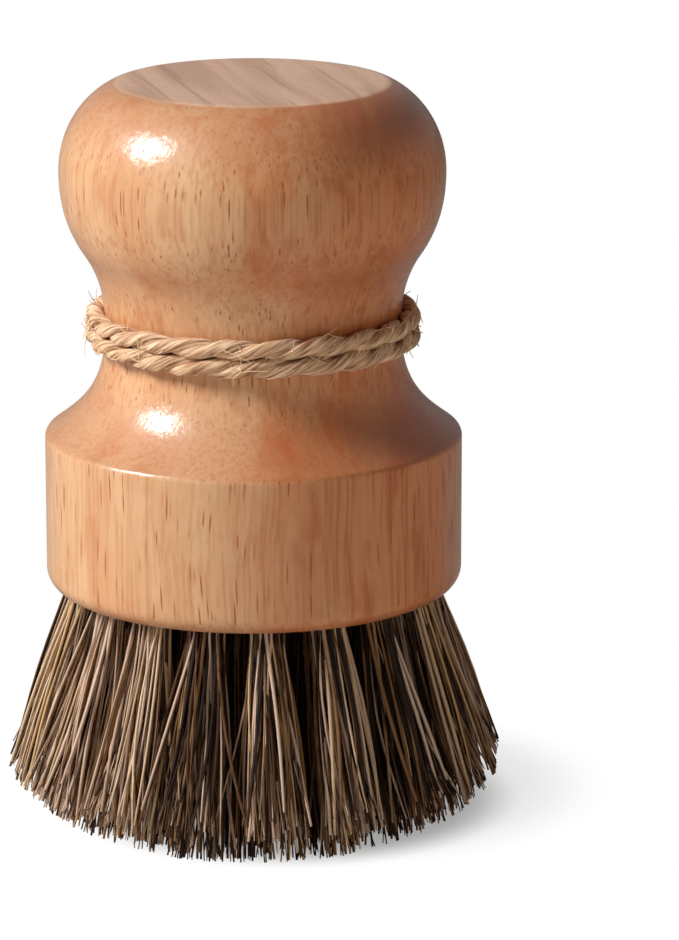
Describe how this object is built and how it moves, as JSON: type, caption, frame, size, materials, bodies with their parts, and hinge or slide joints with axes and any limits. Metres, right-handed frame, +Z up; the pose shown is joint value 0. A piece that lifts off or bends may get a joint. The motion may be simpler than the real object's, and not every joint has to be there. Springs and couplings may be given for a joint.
{
  "type": "palm brush",
  "caption": "Palm scrubbing brush with a turned wooden knob handle, a twine-bound neck and a flared round bundle of stiff plant-fibre tufts.",
  "frame": {"origin": "on the floor that the longest fibre tips touch, under the axis of the turned handle", "axes": "+Z up along the handle's axis, +Y to the back where the twine is knotted, +X to the right"},
  "size_m": [0.0562, 0.0564, 0.0864],
  "materials": {
    "wood": "clear gloss lacquer over turned pale hardwood",
    "fibre": "mixed tan and dark brown plant fibre, low sheen",
    "anchor_wire": "flat steel wire",
    "twine": "two-ply jute, matt and hairy"
  },
  "bodies": {
    "brush": {"handle": "wood", "anchors": "anchor_wire", "tuft_centre": "fibre", "tuft_ring1_01": "fibre", "tuft_ring1_02": "fibre", "tuft_ring1_03": "fibre", "tuft_ring1_04": "fibre", "tuft_ring1_05": "fibre", "tuft_ring1_06": "fibre", "tuft_ring2_01": "fibre", "tuft_ring2_02": "fibre", "tuft_ring2_03": "fibre", "tuft_ring2_04": "fibre", "tuft_ring2_05": "fibre", "tuft_ring2_06": "fibre", "tuft_ring2_07": "fibre", "tuft_ring2_08": "fibre", "tuft_ring2_09": "fibre", "tuft_ring2_10": "fibre", "tuft_ring2_11": "fibre", "tuft_ring2_12": "fibre", "tuft_ring3_01": "fibre", "tuft_ring3_02": "fibre", "tuft_ring3_03": "fibre", "tuft_ring3_04": "fibre", "tuft_ring3_05": "fibre", "tuft_ring3_06": "fibre", "tuft_ring3_07": "fibre", "tuft_ring3_08": "fibre", "tuft_ring3_09": "fibre", "tuft_ring3_10": "fibre", "tuft_ring3_11": "fibre", "tuft_ring3_12": "fibre", "tuft_ring3_13": "fibre", "tuft_ring3_14": "fibre", "tuft_ring3_15": "fibre", "tuft_ring3_16": "fibre", "tuft_ring3_17": "fibre", "tuft_ring3_18": "fibre"},
    "twine": {"twine_winding": "twine", "twine_knot": "twine"}
  },
  "joints": [
    {"name": "twine_turn", "type": "hinge", "parent": "brush", "child": "twine", "pos_m": [0, 0, 0.0584], "axis": [0, 0, 1], "continuous": true}
  ]
}
